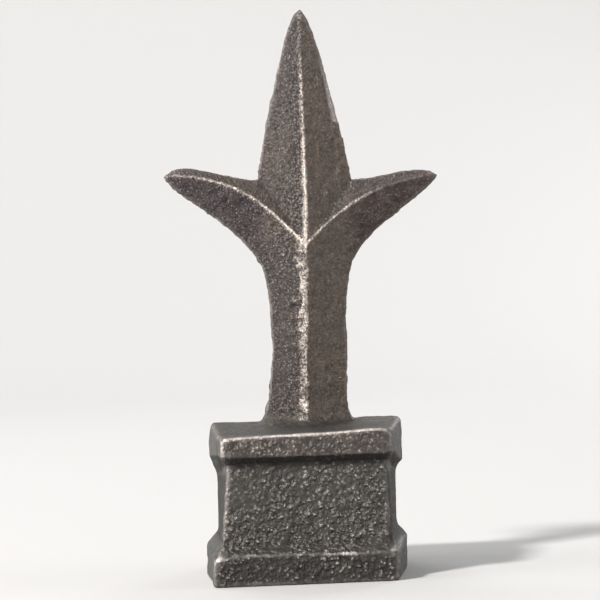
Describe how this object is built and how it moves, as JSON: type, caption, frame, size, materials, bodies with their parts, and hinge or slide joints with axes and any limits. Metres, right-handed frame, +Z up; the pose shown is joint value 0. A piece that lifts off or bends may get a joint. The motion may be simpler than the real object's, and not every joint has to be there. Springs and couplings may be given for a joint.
{
  "type": "post finial",
  "caption": "Cast finial for a post or railing: stepped, waisted block base, flat ridged stem, and a pointed centre blade between shorter side leaves.",
  "frame": {"origin": "centre of the flat underside", "axes": "+Z up from the underside towards the blade's tip, -Y out of the front face, +X to the right seen from the front"},
  "size_m": [0.069, 0.049, 0.142],
  "materials": {
    "cast_iron": "rough sand-cast, dark grey-brown, worn bright on the arrises"
  },
  "bodies": {
    "root": {"finial": "cast_iron"}
  },
  "joints": []
}
